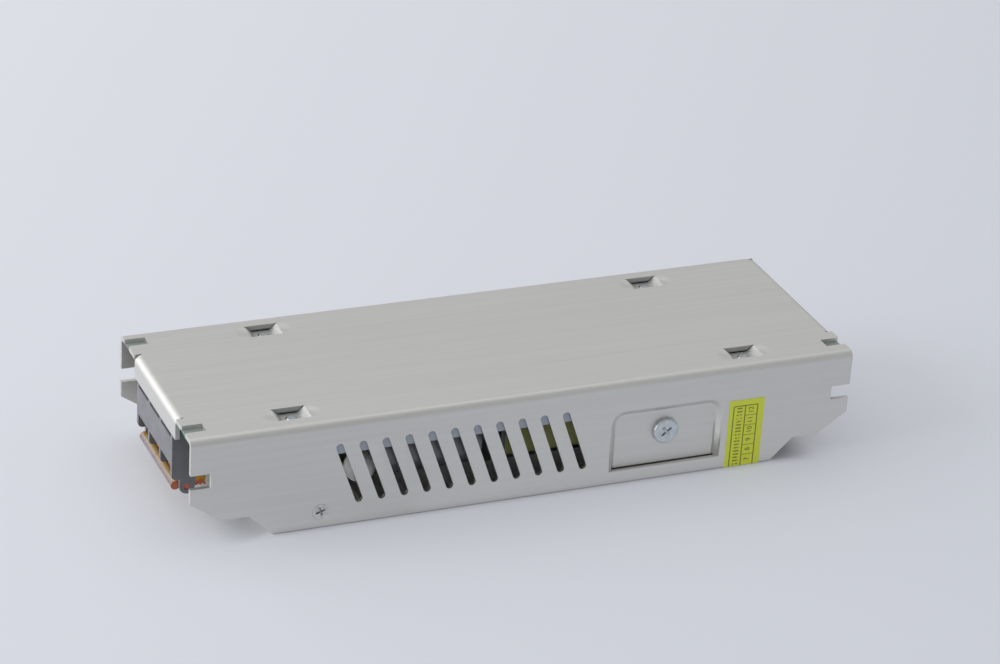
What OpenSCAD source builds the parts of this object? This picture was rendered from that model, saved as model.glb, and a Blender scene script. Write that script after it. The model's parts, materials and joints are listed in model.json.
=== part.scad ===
// Slim open-ended switching power supply for lamps, lying with its mounting web up.
// Millimetres. X runs from the input end to the output end, Z is up.
// The origin is the centre of the footprint, on the outer face of the cover.

/* [Case] */
// Length of the folded chassis
case_l = 188; // [176:1:230]
// Width over the two sides
case_w = 63; // [62:0.5:80]
// Height from the cover's outer face to the mounting web
case_h = 30.5; // [30:0.5:38]
// Thickness of the chassis sheet
sheet_t = 1.2; // [0.9:0.1:1.4]
// Outer radius of the chassis bends
bend_r = 2; // [1.6:0.1:3]
// Height of the sides' lower edge above the cover's outer face
edge_rise = 0.25; // [0.2:0.05:0.6]

/* [Side outline] */
// Height at which the end edge turns into the first slope
end_rise = 12.2; // [10.5:0.1:14]
// Distance from the end to the foot of the first slope
slope_in = 8.65; // [6:0.05:11]
// Height of the level step between the two slopes
step_rise = 6.4; // [4:0.1:9]
// Distance from the end to the far side of the level step
step_in = 16.05; // [13:0.05:19]
// Distance from the end to where the lower edge starts
foot_in = 22.35; // [20:0.05:26]

/* [Notches and lips] */
// Length of the open notches in the sides
side_notch_l = 5.5; // [3:0.1:8]
// Height of the open notches in the sides
side_notch_h = 4; // [3:0.1:5]
// Height of the middle of the side notches
side_notch_z = 18.55; // [16:0.05:21]
// Length of the open notches in the web
web_notch_l = 5.6; // [4:0.1:8]
// Width of the open notches in the web
web_notch_w = 3.9; // [3:0.1:5]
// Distance from the near side face to the middle of its web notches
notch_near_in = 6.9; // [5.6:0.1:7.5]
// Distance from the far side face to the middle of its web notch
notch_far_in = 5.6; // [5.2:0.1:7.5]
// Width of the lip folded down at the input end of the web
lip_w = 36.4; // [30:0.2:40]
// Height of the folded lips, measured from the web's outer face
lip_h = 6.3; // [4:0.1:6.5]
// Slit beside a lip where it folds away from the web
lip_relief = 0.5; // [0.3:0.1:0.8]
// Length clipped from the bend where the output lip reaches the far side
corner_clip = 0.9; // [0.5:0.1:1.5]

/* [Vents] */
// Number of slanted vents in each side
vent_count = 11; // [5:1:11]
// Distance between vents along the side
vent_pitch = 6.34; // [5:0.02:6.6]
// Width of a vent
vent_w = 2.1; // [1.5:0.1:3]
// Length of a vent from end to end
vent_len = 19; // [14:0.05:19.5]
// Lean of the vents from upright, in degrees
vent_lean = 20; // [0:0.5:21]
// Distance along the case from its middle to the middle of the first vent
vent_x = -51; // [-52:0.05:-46]
// Height of the middle of the vents
vent_z = 15.05; // [14:0.05:16]

/* [Pocket] */
// Length of the pressed pocket
pocket_l = 32.7; // [30:0.1:33]
// Height of the pressed pocket
pocket_h = 17.8; // [16:0.1:18.2]
// Depth of the pressed pocket
pocket_d = 1.4; // [1.3:0.1:1.8]
// Run of the pocket's drawn walls
pocket_slope = 1.5; // [0.6:0.1:2]
// Radius of the pocket's upper corners
pocket_r = 4; // [2:0.1:6]
// Distance along the case from its middle to the middle of the pocket
pocket_x = 39.5; // [38:0.05:41]
// Height of the pocket's sheared lower edge
pocket_z = 3.8; // [3.6:0.1:4.4]
// Height of the slit between the side and the pocket's lower edge
pocket_slit = 0.8; // [0.6:0.1:1.2]

/* [Lances] */
// Length of a bridge lance at the web's face
lance_l = 9.5; // [8:0.1:12]
// Width of a bridge lance
lance_w = 6.4; // [5:0.1:8]
// Depth of a bridge lance below the web's face
lance_d = 1.8; // [1.6:0.1:2.2]
// Run of a lance's ramps
lance_ramp = 2; // [1:0.1:2.2]
// Slit between a lance and the web at its long sides
lance_slit = 0.2; // [0.1:0.05:0.5]
// Distance from the side face to the middle of a lance
lance_in = 8; // [7.6:0.1:9]
// Half distance between the lances of the far row
lance_far_x = 56.4; // [55:0.1:58]
// Half distance between the lances of the near row
lance_near_x = 64.6; // [63.5:0.1:66]

/* [Cover] */
// Thickness of the cover sheet
cover_t = 1; // [0.8:0.1:1.2]
// Height of the cover's long flanges
flange_h = 3.3; // [2.8:0.1:3.4]
// Height of the cover's screw tabs
tab_h = 9; // [8:0.1:10]
// Length of the cover's screw tabs
tab_l = 12; // [9:0.1:13]
// Height of the cover's end flanges
cover_end_h = 6; // [3:0.1:7]
// Distance from the chassis foot to the cover's end
cover_end_in = 0.65; // [0.3:0.05:2]
// Place along the case of the tab screw at the input end
tab_in_x = -58.5; // [-59:0.1:-57.5]
// Place along the case of the tab screw at the output end
tab_out_x = 63; // [62.5:0.1:64]
// Height of the cover screws
tab_screw_z = 4.7; // [4.4:0.1:5.6]
// Number of vents in each row of the cover
cover_vents = 10; // [4:1:11]

/* [Board] */
// Thickness of the circuit board
board_t = 1.6; // [1.2:0.1:2]
// Gap from the board to the folded lips
board_end_gap = 0.5; // [0.3:0.1:1.5]
// Gap from the board to the sides
board_side_gap = 0.9; // [0.7:0.1:1.2]
// Thickness of the insulating sheet
film_t = 0.3; // [0.2:0.05:0.4]
// Depth of the insulating sheet's side flaps below the web
film_drop = 8.8; // [6:0.1:10]
// Distance from the ends of the case to those flaps
film_flap_in = 12; // [10:0.5:16]
// Length of the corner cut from the board at the far input corner
board_cut = 8; // [4:0.5:10]

/* [Terminals] */
// Distance between terminals
term_pitch = 10; // [9:0.1:10.5]
// Number of input terminals
term_in = 3; // [2:1:3]
// Number of output terminals
term_out = 4; // [2:1:4]
// Thickness of the barriers between terminals
barrier_t = 1.3; // [1:0.1:1.6]
// Depth of a terminal block along the case
term_d = 16; // [14:0.5:17]
// Height of the lower edge of a block's solid front
term_front_z = 15; // [14.9:0.1:16.5]
// Height of the lower ends of the barriers
barrier_z = 10.9; // [10.6:0.1:12.5]
// Depth of the barriers along the case
barrier_d = 3; // [2:0.1:3.1]
// Height of the floor of the screw wells
well_z = 18; // [17.8:0.1:19]
// Distance from the end of the case to the terminal screws
term_screw_in = 8; // [7.6:0.1:9]

/* [Terminal covers] */
// Distance from the end of the case to the hinge pins
hinge_in = 4.3; // [4.2:0.05:5]
// Height of the hinge pins
hinge_z = 8.5; // [8:0.05:8.8]
// Radius of the hinge ears
ear_r = 2.1; // [1.8:0.1:2.4]
// Diameter of the hinge pins
pin_d = 1.6; // [1.2:0.1:2]
// Length of a terminal cover along the case
lid_l = 10; // [8:0.1:10.2]
// Distance from the end of the case to a terminal cover's front
lid_in = 0.3; // [0.1:0.05:1]
// Thickness of a terminal cover
lid_t = 1.2; // [0.8:0.1:1.6]
// Diameter of the bead along a terminal cover's front
bead_d = 2.6; // [2:0.1:2.8]

/* [Parts on the board] */
// Diameter of the bulk capacitors
bulk_d = 18; // [14:0.1:18.4]
// Length of the bulk capacitors
bulk_l = 28; // [22:0.1:28.4]
// Diameter of the output capacitors
out_cap_d = 10; // [8:0.1:11]
// Length of the output capacitors
out_cap_l = 20; // [14:0.1:21]
// Length of the transformer core
core_l = 34; // [32:0.1:35]
// Width of the transformer core
core_w = 15; // [12:0.1:17]
// Height of the transformer core
core_h = 19; // [18:0.1:20]
// Thickness of the core's legs and backs
core_leg = 3.6; // [3:0.1:4]
// Thickness of the transformer winding
winding_t = 6; // [4:0.1:6.5]
// Outer diameter of the choke core
choke_d = 17; // [14:0.1:17.4]
// Outer diameter of the inductor core
inductor_d = 19; // [16:0.1:20]

/* [Fasteners] */
// Diameter of the board screws' heads
board_head_d = 5.4; // [4.6:0.1:5.8]
// Height of the board screws' heads
board_head_h = 1.8; // [1.2:0.1:2.2]
// Diameter of the clamp screws' heads
clamp_head_d = 7.3; // [6:0.1:8]
// Height of the clamp screws' heads
clamp_head_h = 1.3; // [0.9:0.1:1.3]
// Diameter of the cover screws' heads
cover_head_d = 4.6; // [4:0.1:5]
// Diameter of all the case's screw shanks
shank_d = 3; // [2.4:0.1:3.1]
// Diameter of the terminal screws' heads
term_head_d = 6.4; // [5.4:0.1:7]

/* [Clearances] */
// Clearance all round a screw in its hole
screw_fit = 0.05; // [0.02:0.01:0.1]
// Clearance all round a hinge pin or a turning spindle
pin_fit = 0.08; // [0.03:0.01:0.1]
// Gap between a terminal cover and its ears
lid_fit = 0.3; // [0.2:0.05:0.4]
// Gap between the cover and the sides
cover_fit = 0.15; // [0.1:0.05:0.3]
// Gap between a terminal block and what is beside it
seat_fit = 0.3; // [0.2:0.05:0.5]

/* [Seal sticker] */
// Length of the sticker along the case
seal_l = 10.45; // [6:0.05:10.8]
// Height of the sticker's upper edge
seal_z = 20.3; // [12:0.1:22]
// Thickness of the sticker
seal_t = 0.12; // [0.08:0.01:0.2]

/* [Hidden] */
$fn = 48;

// A cut reaches this far past the face it opens
over = 1;
end_x = case_l / 2;
side_y = case_w / 2;
wall_y = side_y - sheet_t;
web_z = case_h - sheet_t;
lance_floor = lance_l / 2 - lance_ramp;
board_top = web_z - lance_d;
board_z = board_top - board_t;
board_x = end_x - sheet_t - board_end_gap;
board_y = wall_y - board_side_gap;
lance_y = side_y - lance_in;
lances = [
  [-lance_near_x, -lance_y], [lance_near_x, -lance_y],
  [-lance_far_x, lance_y], [lance_far_x, lance_y]
];
notch_near_y = notch_near_in - side_y;
notch_far_y = side_y - notch_far_in;
tab_near_y = notch_near_y + web_notch_w / 2;
tab_far_y = notch_far_y - web_notch_w / 2;
lip_far_y = side_y - bend_r - lip_relief;
cover_x = end_x - foot_in - cover_end_in;
cover_y = wall_y - cover_fit;
cover_r = cover_t + 0.4;
tabs = [[tab_in_x, -1], [tab_out_x, -1], [-tab_in_x, 1], [-tab_out_x, 1]];
cover_shank_d = shank_d * 0.8;
cover_screw_l = 5;
hole_d = shank_d + 2 * screw_fit;
pocket_floor = side_y - pocket_d;
pocket_back = pocket_floor - sheet_t;
clamp_z = pocket_z + pocket_h * 0.56;
// Transistor packages held beside the clamp screw
package_w = 9.6;
package_h = 16.2;
package_t = 4.5;
package_z = board_z - 1.6 - package_h;
package_pitch = package_w + shank_d + 2.4;
pad_t = 0.3;
bar_t = 1.5;
bar_h = 6;
nut_h = 2.4;
nut_d = 6;
// Terminal blocks and their covers
lid_hub_d = 2.9;
term_screw_d = 3;
contact_t = 0.8;
washer_t = 0.8;
washer_w = 7;
term_head_h = 1.6;
// Places of the parts on the board
bulk_x = -41 + bulk_l / 2;
bulk_near_y = -board_y + 0.8 + bulk_d / 2;
bulk_mid_y = bulk_near_y + bulk_d + 1.4;
lead_d = 0.8;
transformer_x = bulk_x + bulk_l / 2 + 2 + core_l / 2;
transformer_y = -12;
transformer_z = board_z - 1.2 - core_h / 2;

// Extrusions along each axis between two places
module along_x(x0, x1) {
  translate([x0, 0, 0]) rotate([90, 0, 90]) linear_extrude(x1 - x0) children();
}
module along_y(y0, y1) {
  translate([0, y1, 0]) rotate([90, 0, 0]) linear_extrude(y1 - y0) children();
}
module along_z(z0, z1) {
  translate([0, 0, z0]) linear_extrude(z1 - z0) children();
}

// A block between two corners
module block(low, high) {
  translate(low) cube(high - low);
}

// A rectangle whose upper corners are round
module arch_top(x0, x1, y0, y1, r) {
  translate([x0, y0]) square([x1 - x0, y1 - y0 - r]);
  translate([x0 + r, y0]) square([x1 - x0 - 2 * r, y1 - y0]);
  translate([x0 + r, y1 - r]) circle(r);
  translate([x1 - r, y1 - r]) circle(r);
}

// A rectangle with four round corners
module round_rect(w, h, r) {
  square([w - 2 * r, h], center = true);
  square([w, h - 2 * r], center = true);
  for (sx = [-1, 1], sy = [-1, 1])
    translate([sx * (w / 2 - r), sy * (h / 2 - r)]) circle(r);
}

// An upright slot with round ends, leaning to the left
module slot(len, w, lean) {
  rotate(lean) {
    square([w, len - w], center = true);
    translate([0, len / 2 - w / 2]) circle(d = w);
    translate([0, w / 2 - len / 2]) circle(d = w);
  }
}

// A folded channel, web up, seen along the case
module channel(half_w, z0, z1, t, r) {
  difference() {
    arch_top(-half_w, half_w, z0, z1, r);
    arch_top(t - half_w, half_w - t, z0 - over, z1 - t, r - t);
  }
}

// The same on the near side and, turned half round, on the far side
module both_sides() {
  for (turn = [0, 180]) rotate([0, 0, turn]) children();
}

// The same at both ends of the case
module both_ends() {
  for (flip = [0, 1]) mirror([flip, 0, 0]) children();
}

// Outline of the sides, with the two slopes at each end
module side_outline() {
  right = [
    [end_x - foot_in, edge_rise],
    [end_x - step_in, step_rise],
    [end_x - slope_in, step_rise],
    [end_x, end_rise],
    [end_x, case_h + over]
  ];
  left = [for (i = [len(right) - 1:-1:0]) [-right[i].x, right[i].y]];
  polygon(concat(right, left));
}

// The pocket's form, measured inwards from the side face: sloped walls and coned upper corners
module pocket_form(start, depth, grow) {
  r = pocket_r + grow;
  x0 = pocket_x - pocket_l / 2 - grow;
  x1 = pocket_x + pocket_l / 2 + grow;
  z1 = pocket_z + pocket_h + grow;
  draw = pocket_slope / pocket_d;
  s = draw * start;
  d = draw * depth;
  difference() {
    intersection() {
      along_z(pocket_z, case_h)
        polygon([[x0 + s, start], [x1 - s, start], [x1 - d, depth], [x0 + d, depth]]);
      along_x(x0 - over, x1 + over)
        polygon([[start, 0], [depth, 0], [depth, z1 - d], [start, z1 - s]]);
    }
    for (x = [x0 - over, x1 - r]) block([x, start - over, z1 - r], [x + r + over, depth + over, case_h]);
  }
  for (x = [x0 + r, x1 - r]) translate([x, start, z1 - r]) rotate([-90, 0, 0])
    cylinder(r1 = r - s, r2 = r - d, h = depth - start);
}

// One bridge lance in place, ramped at both ends
module lance() {
  half = lance_w / 2 - lance_slit;
  lean = sheet_t * lance_ramp / lance_d;
  along_y(-half, half) polygon([
    [-lance_l / 2, case_h], [-lance_floor, case_h - lance_d],
    [lance_floor, case_h - lance_d], [lance_l / 2, case_h],
    [lance_l / 2 + sheet_t, web_z], [lance_floor + lean, board_top],
    [-lance_floor - lean, board_top], [-lance_l / 2 - sheet_t, web_z]
  ]);
}

// A lip folded down at the output end between two places
module end_lip(y0, y1) {
  along_y(y0, y1) intersection() {
    difference() {
      translate([0, case_h - lip_h]) square([end_x, lip_h]);
      arch_top(-end_x, end_x - sheet_t, 0, web_z, bend_r - sheet_t);
    }
    arch_top(-end_x, end_x, 0, case_h, bend_r);
    translate([end_x - 2 * bend_r, 0]) square([2 * bend_r, case_h]);
  }
}

// Room for such a lip and the slits beside it
module lip_room(y0, y1) {
  block([end_x - bend_r, y0 - lip_relief, web_z - over], [end_x + over, y1 + lip_relief, case_h + over]);
}

// An open notch in the web at the output end, the tab beside it round at its free corner
module web_notch(y, tab_y) {
  r = lip_relief;
  s = sign(y);
  along_z(web_z - over, case_h + over) {
    translate([end_x - web_notch_l, y - web_notch_w / 2]) square([web_notch_l + over, web_notch_w]);
    difference() {
      translate([end_x - r, tab_y - r]) square([r + over, 2 * r]);
      translate([end_x - r, tab_y - s * r]) circle(r);
      translate([end_x - 2 * r, tab_y - s * r - (s > 0 ? r : 0)]) square([2 * r + 2 * over, r]);
    }
  }
}

// Open notches in both sides at the output end
module side_notches() {
  block([end_x - side_notch_l, -side_y - over, side_notch_z - side_notch_h / 2],
    [end_x + over, side_y + over, side_notch_z + side_notch_h / 2]);
}

// What is cut from the two ends of the web and sides
module end_cuts() {
  both_ends() side_notches();
  both_ends() web_notch(notch_near_y, tab_near_y);
  at_input() {
    lip_room(-lip_w / 2, lip_w / 2);
    web_notch(notch_far_y, tab_far_y);
  }
  lip_room(-lip_w / 2, lip_far_y);
  block([end_x - corner_clip, lip_far_y, case_h - bend_r], [end_x + over, side_y + over, case_h + over]);
}

// Holes in the near side; the far side has the same, turned half round
module side_cuts() {
  along_y(-side_y - over, -wall_y + over)
    for (i = [0:vent_count - 1])
      translate([vent_x + i * vent_pitch, vent_z]) slot(vent_len, vent_w, vent_lean);
  translate([0, -side_y, 0]) pocket_form(-over, pocket_d, 0);
  for (x = [tab_in_x, tab_out_x]) translate([x, -side_y, tab_screw_z]) rotate([-90, 0, 0]) {
    cylinder(d1 = cover_head_d + 2 * screw_fit, d2 = cover_shank_d + 2 * screw_fit, h = sheet_t);
    translate([0, 0, -over]) cylinder(d = cover_shank_d + 2 * screw_fit, h = sheet_t + 2 * over);
  }
}

module chassis() {
  color([0.74, 0.75, 0.76]) {
    difference() {
      intersection() {
        along_x(-end_x, end_x) channel(side_y, -over, case_h, sheet_t, bend_r);
        along_y(-side_y - over, side_y + over) side_outline();
      }
      end_cuts();
      both_sides() side_cuts();
      for (p = lances) translate([p.x, p.y, case_h - sheet_t / 2])
        cube([lance_l, lance_w, 2 * sheet_t], center = true);
    }
    at_input() end_lip(-lip_w / 2, lip_w / 2);
    end_lip(-lip_w / 2, lip_far_y);
    for (p = lances) difference() {
      translate([p.x, p.y, 0]) lance();
      translate([p.x, p.y, 0]) cylinder(d = hole_d, h = case_h);
    }
    both_sides() difference() {
      translate([0, -side_y, 0]) pocket_form(sheet_t / 3, pocket_d + sheet_t, sheet_t * 0.8);
      translate([0, -side_y, 0]) pocket_form(-over, pocket_d, 0);
      block([pocket_x - pocket_l, -side_y - over, 0],
        [pocket_x + pocket_l, over - pocket_back, pocket_z + pocket_slit]);
      translate([pocket_x, 0, clamp_z]) rotate([90, 0, 0]) cylinder(d = hole_d, h = case_w);
    }
  }
}

// The cover's tab at one screw, at the near side
module cover_tab(x) {
  difference() {
    block([x - tab_l / 2, -cover_y, flange_h - over], [x + tab_l / 2, cover_t - cover_y, tab_h]);
    translate([x, 0, tab_screw_z]) rotate([90, 0, 0])
      cylinder(d = cover_shank_d + 2 * screw_fit, h = case_w);
  }
}

module bottom_cover() {
  vent_gap = 2 * cover_x / (cover_vents + 1);
  color([0.74, 0.75, 0.76]) difference() {
    union() {
      along_x(-cover_x, cover_x) mirror([0, 1]) channel(cover_y, -flange_h, 0, cover_t, cover_r);
      both_sides() {
        cover_tab(tab_in_x);
        cover_tab(tab_out_x);
      }
      both_ends() block([cover_x - cover_t, cover_r - cover_y, 0],
        [cover_x, cover_y - cover_r, cover_end_h]);
    }
    for (t = tabs) translate([t[0], t[1] * cover_y, tab_screw_z]) rotate([90, 0, 0])
      cylinder(d = cover_shank_d + 2 * screw_fit, h = 4 * cover_t, center = true);
    along_z(-over, cover_t + over)
      for (i = [1:cover_vents], s = [-1, 1])
        translate([i * vent_gap - cover_x, s * cover_y / 2]) slot(vent_len, vent_w, 0);
  }
}

// Strip of the insulating sheet under a web notch at the output end
module film_strip(y0, y1) {
  block([end_x - bend_r - 2 * seat_fit, y0, web_z - film_t], [end_x - seat_fit, y1, web_z]);
}

module insulating_sheet() {
  film_x = end_x - bend_r - seat_fit;
  flap_x = end_x - film_flap_in;
  film_y = wall_y - bend_r;
  strip_y = lip_w / 2 + lip_relief;
  pocket_reach = pocket_l / 2 + 2 * sheet_t;
  color([0.72, 0.76, 0.8]) difference() {
    union() {
      along_x(-flap_x, flap_x) channel(wall_y, web_z - film_drop, web_z, film_t, bend_r);
      block([-film_x, -film_y, web_z - film_t], [film_x, film_y, web_z]);
      both_ends() film_strip(-film_y, -strip_y);
      at_input() film_strip(strip_y, film_y);
    }
    for (p = lances) translate([p.x, p.y, web_z])
      cube([lance_l + 2 * sheet_t + 1, lance_w + lance_slit, 4 * film_t], center = true);
    both_sides() block([pocket_x - pocket_reach, -side_y, 0],
      [pocket_x + pocket_reach, over - wall_y, pocket_z + pocket_h + 2 * sheet_t]);
  }
}

module circuit_board() {
  color([0.13, 0.38, 0.2]) difference() {
    block([-board_x, -board_y, board_z], [board_x, board_y, board_top]);
    for (p = lances) translate([p.x, p.y, board_z - over])
      cylinder(d = hole_d, h = board_t + 2 * over);
    block([-board_x - over, board_y - board_cut / 2, board_z - over],
      [board_cut - board_x, board_y + over, board_top + over]);
  }
}

// A pan head with a soft upper edge, head down, seated at its own origin
module pan_head(d, h) {
  edge = h * 0.45;
  rotate_extrude() {
    translate([0, -h]) square([d / 2 - edge, h]);
    translate([0, edge - h]) square([d / 2, h - edge]);
    intersection() {
      translate([d / 2 - edge, edge - h]) circle(edge);
      translate([0, -h]) square([d, h]);
    }
  }
}

module board_screws() {
  reach = board_t + sheet_t + 0.4;
  color([0.7, 0.7, 0.72]) for (p = lances) translate([p.x, p.y, board_z]) {
    pan_head(board_head_d, board_head_h);
    cylinder(d = shank_d, h = reach);
  }
}

module cover_screws() {
  color([0.6, 0.6, 0.62]) for (t = tabs)
    translate([t[0], t[1] * side_y, tab_screw_z]) rotate([t[1] * 90, 0, 0]) {
      cylinder(d1 = cover_head_d, d2 = cover_shank_d, h = sheet_t);
      cylinder(d = cover_shank_d, h = cover_screw_l);
    }
}

module seal_sticker() {
  x0 = tab_out_x - seal_l / 2;
  color([0.75, 0.79, 0.18]) {
    block([x0, -side_y - seal_t, edge_rise - seal_t], [x0 + seal_l, -side_y, seal_z]);
    block([x0, -side_y - seal_t, edge_rise - seal_t], [x0 + seal_l, -wall_y, edge_rise]);
  }
}

// Half width of a terminal block with a number of terminals
function block_y(count) = (count * term_pitch + barrier_t) / 2;

// Middle of each terminal across the case
function term_ys(count) = [for (i = [0:count - 1]) (i - (count - 1) / 2) * term_pitch];

// A moulded terminal block at the output end
module terminal_block(count) {
  half = block_y(count);
  rear = end_x - term_d;
  step_x = end_x - sheet_t - seat_fit;
  top_z = case_h - lip_h - seat_fit;
  well_y = term_pitch / 2 - barrier_t / 2;
  difference() {
    union() {
      block([rear, -half, term_front_z], [end_x, half, min(top_z, board_z)]);
      block([rear, -half, term_front_z], [min(step_x, board_x), half, board_z]);
    }
    for (y = term_ys(count)) {
      block([rear + 2, y - well_y, term_front_z - over], [end_x - barrier_d, y + well_y, well_z]);
      translate([end_x - term_screw_in, y, well_z - over])
        cylinder(d = term_screw_d + 2 * screw_fit, h = 4);
      block([end_x - sheet_t, y - well_y, top_z - sheet_t * 0.8], [end_x + over, y + well_y, top_z + over]);
    }
  }
  for (i = [0:count]) {
    y = (i - count / 2) * term_pitch;
    along_y(y - barrier_t / 2, y + barrier_t / 2)
      barrier_outline(i == 0 || i == count);
  }
}

// A barrier's outline, with the hinge ear on the two end walls
module barrier_outline(end_wall) {
  tip_r = barrier_t;
  translate([end_x - barrier_d, barrier_z]) square([barrier_d - tip_r, term_front_z - barrier_z]);
  translate([end_x - barrier_d, barrier_z + tip_r])
    square([barrier_d, term_front_z - barrier_z - tip_r]);
  translate([end_x - tip_r, barrier_z + tip_r]) circle(tip_r);
  if (end_wall) difference() {
    union() {
      translate([end_x - hinge_in - ear_r, hinge_z]) square([2 * ear_r, term_front_z - hinge_z]);
      translate([end_x - hinge_in, hinge_z]) circle(ear_r);
    }
    translate([end_x - hinge_in, hinge_z]) circle(d = pin_d + 2 * pin_fit);
  }
}

// Contact plates on the well floors
module contacts(count) {
  rear = end_x - term_d + 2 + seat_fit;
  front = end_x - barrier_d - seat_fit;
  half = term_pitch / 2 - barrier_t / 2 - seat_fit;
  for (y = term_ys(count)) difference() {
    block([rear, y - half, well_z - contact_t], [front, y + half, well_z]);
    translate([end_x - term_screw_in, y, 0]) cylinder(d = term_screw_d + 2 * screw_fit, h = case_h);
  }
}

// Square clamp washers under the terminal screws
module clamp_washers(count) {
  for (y = term_ys(count)) translate([end_x - term_screw_in, y, well_z - contact_t - washer_t])
    difference() {
      along_z(0, washer_t) round_rect(washer_w, washer_w, 1);
      translate([0, 0, -over]) cylinder(d = term_screw_d + 2 * screw_fit, h = washer_t + 2 * over);
    }
}

// Terminal screws, heads down
module terminal_screws(count) {
  for (y = term_ys(count)) translate([end_x - term_screw_in, y, well_z - contact_t - washer_t]) {
    pan_head(term_head_d, term_head_h);
    cylinder(d = term_screw_d, h = contact_t + washer_t + 2.6);
  }
}

// A hinged terminal cover with its bead, hub, pins and finger ribs
module terminal_cover(count) {
  half = block_y(count) - barrier_t - lid_fit;
  front = end_x - lid_in;
  rear = front - lid_l;
  corner = 2;
  pin_reach = barrier_t - 0.2;
  difference() {
    union() {
      along_z(hinge_z - lid_t / 2, hinge_z + lid_t / 2)
        translate([(front - bead_d / 2 + rear) / 2, 0])
          round_rect(lid_l - bead_d / 2, 2 * half, corner);
      along_y(-half, half) {
        translate([front - bead_d / 2, hinge_z]) circle(d = bead_d);
        translate([end_x - hinge_in, hinge_z]) circle(d = lid_hub_d);
        for (i = [1:3]) translate([rear + i * 1.1 - 0.3, hinge_z - lid_t / 2]) square(0.55, center = true);
      }
    }
    for (s = [-1, 1]) translate([rear - over, s * (half - corner / 2) - corner / 2, 0])
      cube([over + 0.4, corner, hinge_z]);
  }
  along_y(-half - pin_reach - lid_fit, half + pin_reach + lid_fit)
    translate([end_x - hinge_in, hinge_z]) circle(d = pin_d);
}

module at_input() {
  mirror([1, 0, 0]) children();
}
module input_terminal_block() {
  color([0.17, 0.17, 0.18]) at_input() terminal_block(term_in);
}
module input_contacts() {
  color([0.75, 0.74, 0.7]) at_input() contacts(term_in);
}
module input_clamp_washers() {
  color([0.75, 0.74, 0.7]) at_input() clamp_washers(term_in);
}
module input_terminal_screws() {
  color([0.75, 0.74, 0.7]) at_input() terminal_screws(term_in);
}
module input_terminal_cover() {
  color([0.86, 0.55, 0.16]) at_input() terminal_cover(term_in);
}
module output_terminal_block() {
  color([0.17, 0.17, 0.18]) terminal_block(term_out);
}
module output_contacts() {
  color([0.75, 0.74, 0.7]) contacts(term_out);
}
module output_clamp_washers() {
  color([0.75, 0.74, 0.7]) clamp_washers(term_out);
}
module output_terminal_screws() {
  color([0.75, 0.74, 0.7]) terminal_screws(term_out);
}
module output_terminal_cover() {
  color([0.86, 0.55, 0.16]) terminal_cover(term_out);
}

// Straight leads from a part up to the board
module leads(places, z) {
  for (p = places) translate([p.x, p.y, z]) cylinder(d = lead_d, h = board_z - z);
}

module fuse() {
  d = 5;
  l = 16;
  x = -69;
  y = -9;
  cap = 4;
  color([0.8, 0.8, 0.78]) {
    translate([x, y, board_z - d / 2 - 1]) rotate([90, 0, 0]) {
      cylinder(d = d - 0.4, h = l - 2, center = true);
      for (s = [-1, 1]) translate([0, 0, s * (l - cap) / 2]) cylinder(d = d, h = cap, center = true);
    }
    leads([[x, y - l / 2 + 1.5], [x, y + l / 2 - 1.5]], board_z - d / 2 - 1);
  }
}

module thermistor() {
  d = 11;
  t = 4;
  x = -70;
  y = 5;
  z = board_z - d / 2 - 2;
  color([0.2, 0.3, 0.22]) {
    translate([x, y, z]) rotate([0, 90, 0]) rotate_extrude() {
      square([d / 2 - t / 2, t], center = false);
      translate([d / 2 - t / 2, t / 2]) circle(t / 2);
    }
    leads([[x + t / 2, y - 2.5], [x + t / 2, y + 2.5]], z);
  }
}

module line_filter_capacitor() {
  x = -65.8;
  w = 12;
  d = 14;
  h = 16;
  color([0.8, 0.68, 0.22]) translate([x, board_y - 1.4 - d / 2, 0])
    along_z(board_z - h, board_z) round_rect(w, d, 0.8);
}

// A ring with a rectangular section
module ring(r0, r1, h) {
  rotate_extrude() translate([r0, -h / 2]) square([r1 - r0, h]);
}

// One winding over a stretch of a ring
module ring_winding(r0, r1, h, wire, angle) {
  rotate_extrude(angle = angle) difference() {
    translate([(r0 + r1) / 2, 0]) round_rect(r1 - r0 + 2 * wire, h + 2 * wire, wire);
    translate([r0, -h / 2]) square([r1 - r0, h]);
  }
}

choke_place = [-51.5, -2];
choke_h = 8;
choke_wire = 1.2;
module choke_core() {
  color([0.2, 0.4, 0.28])
    translate([choke_place.x, choke_place.y, board_z - choke_h / 2 - choke_wire])
      ring(choke_d * 0.3, choke_d / 2, choke_h);
}
module choke_windings() {
  color([0.66, 0.36, 0.18])
    translate([choke_place.x, choke_place.y, board_z - choke_h / 2 - choke_wire])
      for (a = [20, 200]) rotate(a) ring_winding(choke_d * 0.3, choke_d / 2, choke_h, choke_wire, 140);
}

module bridge_rectifier() {
  w = 15.4;
  t = 4;
  h = 14;
  stand = 3;
  pin_gap = w / 4;
  gap = 1.5;
  x = choke_place.x;
  y = choke_place.y + choke_d / 2 + choke_wire + gap + t / 2;
  color([0.16, 0.16, 0.17]) {
    translate([x, y, 0]) along_z(board_z - stand - h, board_z - stand) round_rect(w, t, 0.6);
    leads([for (i = [-1.5:1:1.5]) [x + i * pin_gap, y]], board_z - stand - over);
  }
}

module adhesive_bead() {
  r = 4.2;
  neck_r = 2.4;
  x = -45.6;
  y = r + 1 - board_y;
  z = 12.4;
  color([0.9, 0.9, 0.88]) {
    translate([x, y, z]) rotate_extrude() intersection() {
      circle(r);
      translate([0, -r]) square([r, 2 * r]);
    }
    translate([x + 1, y + 3.4, z]) cylinder(r = neck_r, h = board_z - z);
  }
}

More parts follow.
